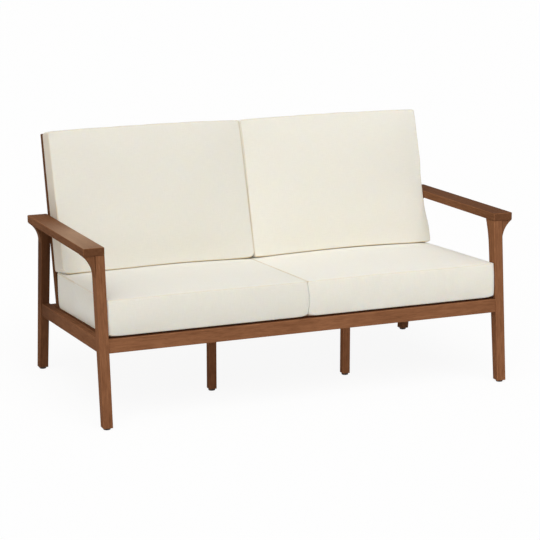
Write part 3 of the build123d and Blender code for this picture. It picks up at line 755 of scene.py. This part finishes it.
def sew_back(side, seats, settings):
    """Sews a back cushion, fills it, lets it down onto the seat cushions and puts it on its body."""
    rear = Vector((0.0, cos(BACK_RECLINE), -sin(BACK_RECLINE)))
    up = Vector((0.0, sin(BACK_RECLINE), cos(BACK_RECLINE)))
    centre = BACK_FOOT + up * BACK_UPWARD
    seed, outer = (14.0, -1.0) if side == "left" else (23.0, 1.0)
    low, high = sorted((outer * BETWEEN_LEGS, BACK_SPLIT))
    middle = Vector(((low + high) / 2, 0.0, 0.0)) + centre

    def split(point):
        """Where the two cushions meet, leaning a little to the left at the head."""
        height = (point - centre).dot(up)
        return BACK_SPLIT + BACK_LEAN * height / BACK_LONG - HEAD_LEAN * smooth_step(height, 0.12, 0.225)

    def furthest(point):
        """Outer side: at an armrest's height the cushion stays between the armrests."""
        height = (point - centre).dot(up)
        over_arm = 0.012 * smooth_step(height, -0.020, 0.060)
        return BETWEEN_LEGS + over_arm + 0.010 * smooth_step(-height, 0.100, 0.170)

    def shape(point, share):
        x, y, z = point
        belly = 1 - share.z * share.z
        at_side = copysign(border(share.x, 0.92), x)
        above_arm = smooth_step(y, -0.020, 0.060)
        below_arm = smooth_step(-y, 0.100, 0.190)
        if x * outer > 0:
            x += at_side * (belly * 0.0060 * above_arm - 0.0010)
            if side == "right":  # this one fills out further, over the armrest and at its foot
                x += at_side * (0.0050 * above_arm + 0.0075 * below_arm * (share.z + 1) / 2)
        else:
            lean = split(centre + up * y) - BACK_SPLIT
            x += at_side * belly * 0.004 + lean * border(share.x, 0.80)
            if side == "right":  # its front seam stands back, so that its boxing shows beside the split
                x -= at_side * 0.0050 * smooth_step(share.z, 0.88, 1.0) * smooth_step(share.y, -0.9, 0.5)
        if side == "left":  # its lower corners are drawn up off the seat
            y += 0.0045 * border(share.x, 0.955) * smooth_step(-share.y, 0.93, 1.0)
        if y > 0:
            y += 0.004 * (1 - share.x * share.x) * smooth_step(share.y, 0.5, 1.0)
        y += copysign(border(share.y, 0.90), y) * belly * 0.002
        depth = (z + BACK_THICK / 2) * (1.0 - (1.0 - HEAD_SHARE) * (share.y + 1) / 2)
        depth += smooth_step(share.z, -0.2, 1.0) * dome(share, 3.0, 3.0) * settings.back_crown
        loose = smooth_step(share.z, -0.9, -0.2)
        spot = Vector((x, y, depth))
        y += wave(spot, seed + 5, 0.30, 0.0016) * loose
        depth += wave(spot, seed + 9, 0.24, 0.0042) * loose * (0.3 + 0.7 * dome(share, 6.0, 6.0))
        return middle + Vector((x, 0.0, 0.0)) - rear * (depth + BACK_FORWARD) + up * y

    def freedom(point):
        """The cushion's own weight holds its foot down."""
        return 0.20 + 0.80 * smooth_step((point - centre).dot(up) + BACK_LONG / 2, 0.010, 0.090)

    sizes = (high - low, BACK_LONG, BACK_THICK)
    cushion = boxed_cushion(f"back_cushion_{side}_sewn", sizes, settings, shape)
    puff(cushion, settings, freedom)
    press_sides(cushion, outer, split, furthest, BACK_GAP)
    rest_foot(cushion, seats, up, rear, settings, raised=1.0 if side == "left" else 0.0)
    sink_seams(cushion, settings.seam_depth)
    dress_cushion(cushion, side, "back", settings)


# Settings


class BenchWood(bpy.types.PropertyGroup):
    light: bpy.props.FloatVectorProperty(
        name="Light Grain", description="Colour of the light growth between the rings", subtype="COLOR_GAMMA",
        size=3, min=0.0, max=1.0, default=(0.605, 0.415, 0.288),
    )
    dark: bpy.props.FloatVectorProperty(
        name="Dark Grain", description="Colour of the dark growth and streaks", subtype="COLOR_GAMMA",
        size=3, min=0.0, max=1.0, default=(0.430, 0.272, 0.176),
    )
    ring_scale: bpy.props.FloatProperty(
        name="Rings", description="Growth rings to a metre", default=160.0, min=20.0, max=600.0,
    )
    fibre_scale: bpy.props.FloatProperty(
        name="Fibres", description="Fibres to a metre across the grain", default=520.0, min=50.0, max=2000.0,
    )
    roughness: bpy.props.FloatProperty(
        name="Roughness", description="Roughness of the oiled surface", subtype="FACTOR", default=0.52,
        min=0.1, max=1.0,
    )
    sheen: bpy.props.FloatProperty(
        name="Sheen", description="Strength of the oil's reflection", subtype="FACTOR", default=0.015,
        min=0.0, max=1.0,
    )
    # how strongly the rounded edges are lightened, partly wear and partly a painted highlight
    edge_wear_and_highlight: bpy.props.FloatProperty(
        name="Edge Wear", description="How far the rounded edges have worn lighter", subtype="FACTOR",
        default=0.40, min=0.0, max=1.0,
    )
    # the colour of the painted sheen on an armrest's top
    sheen_colour: bpy.props.FloatVectorProperty(
        name="Bleached", description="Colour of wood that hands and sun have bleached", subtype="COLOR_GAMMA",
        size=3, min=0.0, max=1.0, default=(0.72, 0.595, 0.49),
    )


class BenchCushions(bpy.types.PropertyGroup):
    colour: bpy.props.FloatVectorProperty(
        name="Canvas", description="Colour of the cover", subtype="COLOR_GAMMA", size=3, min=0.0, max=1.0,
        default=(0.933, 0.922, 0.880),
    )
    # colour, strength and free share of the painted warm shade along the seams
    seam_shade_colour: bpy.props.FloatVectorProperty(
        name="Seam", description="Colour of the line along each seam", subtype="COLOR_GAMMA", size=3,
        min=0.0, max=1.0, default=(0.82, 0.71, 0.52),
    )
    seam_shade_strength: bpy.props.FloatProperty(
        name="Seam Tint", description="How strongly the seams show their colour", subtype="FACTOR",
        default=0.85, min=0.0, max=1.0,
    )
    free_seam_shade: bpy.props.FloatProperty(
        name="Free Seam", description="Share of that tint where nothing lies against a seam",
        subtype="FACTOR", default=0.36, min=0.1, max=1.0,
    )
    thread: bpy.props.FloatProperty(
        name="Thread", description="Distance from thread to thread", subtype="DISTANCE", unit="LENGTH",
        default=0.0009, min=0.0003, max=0.01, precision=5,
    )
    corner: bpy.props.FloatProperty(
        name="Corner", description="Rounding of the corners of the boxing", subtype="DISTANCE", unit="LENGTH",
        default=0.008, min=0.005, max=0.05,
    )
    edge: bpy.props.FloatProperty(
        name="Edge", description="Rounding of the edges along the seams", subtype="DISTANCE", unit="LENGTH",
        default=0.0013, min=0.001, max=0.03,
    )
    seam_depth: bpy.props.FloatProperty(
        name="Seam Depth", description="How deep each seam lies in the cover", subtype="DISTANCE",
        unit="LENGTH", default=0.0002, min=0.0, max=0.006,
    )
    drop: bpy.props.FloatProperty(
        name="Drop", description="Furthest that the foot of a back cushion sinks down to the seat",
        subtype="DISTANCE", unit="LENGTH", default=0.0045, min=0.0, max=0.02,
    )
    panel_step: bpy.props.FloatProperty(
        name="Panel Step", description="Largest distance between the cuts of a panel", subtype="DISTANCE",
        unit="LENGTH", default=0.0115, min=0.006, max=0.03,
    )
    pressure: bpy.props.FloatProperty(
        name="Pressure", description="Pressure of the filling in the simulation", default=4.0,
        min=0.0, max=20.0,
    )
    ease: bpy.props.FloatProperty(
        name="Ease", description="Share by which the cover is cut larger than its filling", subtype="FACTOR",
        default=0.004, min=0.0, max=0.1,
    )
    puff_limit: bpy.props.FloatProperty(
        name="Puff Limit", description="Furthest that the filling can push the cover", subtype="DISTANCE",
        unit="LENGTH", default=0.010, min=0.0, max=0.03,
    )
    seat_crown: bpy.props.FloatProperty(
        name="Seat Crown", description="Height of the middle of a seat cushion over its seams",
        subtype="DISTANCE", unit="LENGTH", default=0.011, min=0.0, max=0.04,
    )
    back_crown: bpy.props.FloatProperty(
        name="Back Crown", description="How far the middle of a back cushion stands out from its seams",
        subtype="DISTANCE", unit="LENGTH", default=0.014, min=0.0, max=0.04,
    )


class BenchFixings(bpy.types.PropertyGroup):
    glide: bpy.props.FloatVectorProperty(
        name="Glide", description="Colour of the moulded glides", subtype="COLOR_GAMMA", size=3,
        min=0.0, max=1.0, default=(0.20, 0.14, 0.105),
    )
    steel: bpy.props.FloatVectorProperty(
        name="Steel", description="Colour of the screws and bolts", subtype="COLOR_GAMMA", size=3,
        min=0.0, max=1.0, default=(0.72, 0.72, 0.70),
    )
    brass: bpy.props.FloatVectorProperty(
        name="Brass", description="Colour of the threaded inserts", subtype="COLOR_GAMMA", size=3,
        min=0.0, max=1.0, default=(0.80, 0.66, 0.38),
    )
    dowel: bpy.props.FloatVectorProperty(
        name="Dowel", description="Colour of the bare dowels", subtype="COLOR_GAMMA", size=3,
        min=0.0, max=1.0, default=(0.82, 0.70, 0.53),
    )


class BenchStudio(bpy.types.PropertyGroup):
    key: bpy.props.FloatProperty(
        name="Key Light", description="Strength of the main light", default=1.79, min=0.0, max=20.0,
    )
    fill: bpy.props.FloatProperty(
        name="Fill Light", description="Strength of the light from the other side", default=0.48,
        min=0.0, max=20.0,
    )
    air: bpy.props.FloatProperty(
        name="Room Light", description="Strength of the light from all round", default=0.37, min=0.0, max=5.0,
    )
    floor: bpy.props.FloatVectorProperty(
        name="Floor", description="Colour of the floor", subtype="COLOR_GAMMA", size=3, min=0.0, max=1.0,
        default=(0.93, 0.93, 0.93),
    )
    camera_place: bpy.props.FloatVectorProperty(
        name="Camera", description="Place of the camera", subtype="TRANSLATION", unit="LENGTH", size=3,
        default=(-2.2265, -5.444, 1.7309),
    )
    camera_turn: bpy.props.FloatProperty(
        name="Turn", description="How far the camera looks round to the right of straight on",
        subtype="ANGLE", unit="ROTATION", default=radians(22.294),
    )
    camera_dip: bpy.props.FloatProperty(
        name="Dip", description="How far the camera looks down", subtype="ANGLE", unit="ROTATION",
        default=radians(13.209),
    )
    lens: bpy.props.FloatProperty(
        name="Lens", description="Focal length of the camera", subtype="DISTANCE_CAMERA", default=124.97,
        min=10.0, max=500.0,
    )


# Pieces


def grain_of(name):
    """The direction from one end of a board to the other. A corbel's grain is upright, as its leg's is."""
    if "corbel" in name:
        return Vector(UPWARD)
    low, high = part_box(name)
    size = high - low
    longest = max(range(3), key=lambda k: size[k])
    ends, counts = [Vector(), Vector()], [0, 0]
    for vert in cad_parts[name].data.vertices:
        share = (vert.co[longest] - low[longest]) / size[longest]
        if share < 0.25 or share > 0.75:
            ends[share > 0.5] += vert.co
            counts[share > 0.5] += 1
    return ends[1] / counts[1] - ends[0] / counts[0]


class BENCH_OT_wood(bpy.types.Operator):
    """Finish every board of the frame in stained hardwood, with its grain along its length"""

    bl_idname = "bench.wood"
    bl_label = "Wooden Frame"

    def execute(self, context):
        settings = context.scene.bench_wood
        boards = [name for name in nodes_with(*HARDWOOD) if not name.endswith("_screws")]
        noise.seed_set(GRAIN_SEED)
        for seed, name in enumerate(boards):
            differences = BOARDS.get(name, {})
            coat(name, hardwood(f"hardwood_{name}", grain_of(name), settings, seed, **differences))
        return {"FINISHED"}


class BENCH_OT_fixings(bpy.types.Operator):
    """Finish the glides, screws, bolts, inserts and dowels"""

    bl_idname = "bench.fixings"
    bl_label = "Fixings"

    def execute(self, context):
        settings = context.scene.bench_fixings
        glide = moulded("glide_plastic", settings.glide)
        steel = turned_metal("plated_steel", settings.steel, 0.38)
        for name in nodes_with("_glide_"):
            coat(name, glide)
        for name in ("seat_screws", "glide_screws", "back_bolts"):
            coat(name, steel)
        coat("bolt_inserts", turned_metal("turned_brass", settings.brass, 0.34))
        coat("frame_dowels", bare_wood("bare_beech", settings.dowel))
        return {"FINISHED"}


class BENCH_OT_seat_cushions(bpy.types.Operator):
    """Sew and fill the two boxed seat cushions"""

    bl_idname = "bench.seat_cushions"
    bl_label = "Seat Cushions"

    def execute(self, context):
        for side in ("left", "right"):
            sew_seat(side, context.scene.bench_cushions)
        return {"FINISHED"}


class BENCH_OT_back_cushions(bpy.types.Operator):
    """Sew and fill the two boxed back cushions, which are thinner at the head"""

    bl_idname = "bench.back_cushions"
    bl_label = "Back Cushions"

    def execute(self, context):
        seats = [bpy.data.objects.get(f"seat_cushion_{side}_sewn") for side in ("left", "right")]
        if not all(seats):
            raise RuntimeError("The back cushions stand on the seat cushions, which have to be sewn first")
        for side in ("left", "right"):
            sew_back(side, seats, context.scene.bench_cushions)
        return {"FINISHED"}


class BENCH_OT_studio(bpy.types.Operator):
    """Set the pale floor, the lights and the camera round the bench"""

    bl_idname = "bench.studio"
    bl_label = "Studio"

    def execute(self, context):
        settings = context.scene.bench_studio
        self.floor(context, settings)
        self.room(context, settings)
        self.lamp(context, "key", settings.key, (0.08, 0.59, -0.94), 50.0, (1.0, 1.0, 1.0))
        self.lamp(context, "fill", settings.fill, (0.85, 0.45, -0.5), 60.0, (1.0, 0.925, 0.82))
        self.camera(context, settings)
        context.scene.view_settings.view_transform = "Standard"
        return {"FINISHED"}

    def floor(self, context, settings):
        """A pale floor that is nearly white to the camera and still shows shadows."""
        sheet = bmesh.new()
        bmesh.ops.create_grid(sheet, x_segments=2, y_segments=2, size=60.0)
        bmesh.ops.translate(sheet, vec=Vector((0.0, 0.0, -0.0004)), verts=sheet.verts)
        data = bpy.data.meshes.new("floor")
        sheet.to_mesh(data)
        sheet.free()
        floor = bpy.data.objects.new("floor", data)
        context.collection.objects.link(floor)
        paint = Finish("floor_paint")
        tone = linear(settings.floor)
        colour = paint.mix(paint.noise(paint.place(), 3.0, 2.0), tone, shade(tone, 0.995))
        matt = paint.node("ShaderNodeBsdfDiffuse", None, {"Color": colour, "Roughness": 0.6})
        white = paint.node("ShaderNodeEmission", None, {"Color": WHITE, "Strength": 1.0})
        seen = paint.rays("Camera", "Glossy") * 0.92
        surface = paint.node("ShaderNodeMixShader", None, {0: seen, 1: matt, 2: white})
        paint.node("ShaderNodeOutputMaterial", None, {"Surface": surface})
        data.materials.append(paint.material)

    def room(self, context, settings):
        """Even light from all round, and a white backdrop where the camera or a shiny surface sees it."""
        world = bpy.data.worlds.new("room")
        world.use_nodes = True
        context.scene.world = world
        air = Sheet(world.node_tree)
        soft = air.node("ShaderNodeBackground", None, {"Color": WHITE, "Strength": settings.air})
        white = air.node("ShaderNodeBackground", None, {"Color": WHITE, "Strength": 1.0})
        seen = air.rays("Camera", "Glossy", "Transmission")
        surface = air.node("ShaderNodeMixShader", None, {0: seen, 1: soft, 2: white})
        air.node("ShaderNodeOutputWorld", None, {"Surface": surface})

    def lamp(self, context, name, strength, aim, width, colour):
        """A sun that shines along aim and is some degrees wide."""
        light = bpy.data.lights.new(f"{name}_light", "SUN")
        light.color = colour
        light.energy = strength
        light.angle = radians(width)
        lamp = bpy.data.objects.new(f"{name}_light", light)
        lamp.rotation_mode = "QUATERNION"
        lamp.rotation_quaternion = Vector(aim).to_track_quat("-Z", "Y")
        lamp.location = -Vector(aim).normalized() * 4.0
        context.collection.objects.link(lamp)

    def camera(self, context, settings):
        """The camera where the photograph was taken from."""
        data = bpy.data.cameras.new("camera")
        data.lens = settings.lens
        data.sensor_width = 36.0
        data.clip_end = 200.0
        camera = bpy.data.objects.new("camera", data)
        turn, dip = settings.camera_turn, settings.camera_dip
        look = Vector((sin(turn) * cos(dip), cos(turn) * cos(dip), -sin(dip)))
        camera.rotation_mode = "QUATERNION"
        camera.rotation_quaternion = look.to_track_quat("-Z", "Y")
        camera.location = settings.camera_place
        context.collection.objects.link(camera)
        context.scene.camera = camera


class BENCH_PT_bench(bpy.types.Panel):
    """Sizes and colours of the bench"""

    bl_idname = "BENCH_PT_bench"
    bl_label = "Patio Bench"
    bl_space_type = "VIEW_3D"
    bl_region_type = "UI"
    bl_category = "Bench"

    def draw(self, context):
        layout = self.layout
        for group, operators in PANEL:
            box = layout.box()
            settings = getattr(context.scene, group)
            for name in settings.__annotations__:
                box.prop(settings, name)
            for operator in operators:
                box.operator(operator)


GROUPS = {
    "bench_wood": BenchWood,
    "bench_cushions": BenchCushions,
    "bench_fixings": BenchFixings,
    "bench_studio": BenchStudio,
}
PANEL = (
    ("bench_wood", ("bench.wood",)),
    ("bench_fixings", ("bench.fixings",)),
    ("bench_cushions", ("bench.seat_cushions", "bench.back_cushions")),
    ("bench_studio", ("bench.studio",)),
)
CLASSES = (
    *GROUPS.values(), BENCH_OT_wood, BENCH_OT_fixings, BENCH_OT_seat_cushions, BENCH_OT_back_cushions,
    BENCH_OT_studio, BENCH_PT_bench,
)


def register():
    for made in CLASSES:
        bpy.utils.register_class(made)
    for name, group in GROUPS.items():
        setattr(bpy.types.Scene, name, bpy.props.PointerProperty(type=group))


def unregister():
    for name in GROUPS:
        delattr(bpy.types.Scene, name)
    for made in reversed(CLASSES):
        bpy.utils.unregister_class(made)


def main():
    register()
    bpy.ops.bench.wood()
    bpy.ops.bench.fixings()
    bpy.ops.bench.seat_cushions()
    bpy.ops.bench.back_cushions()
    bpy.ops.bench.studio()


if __name__ == "__main__":
    main()
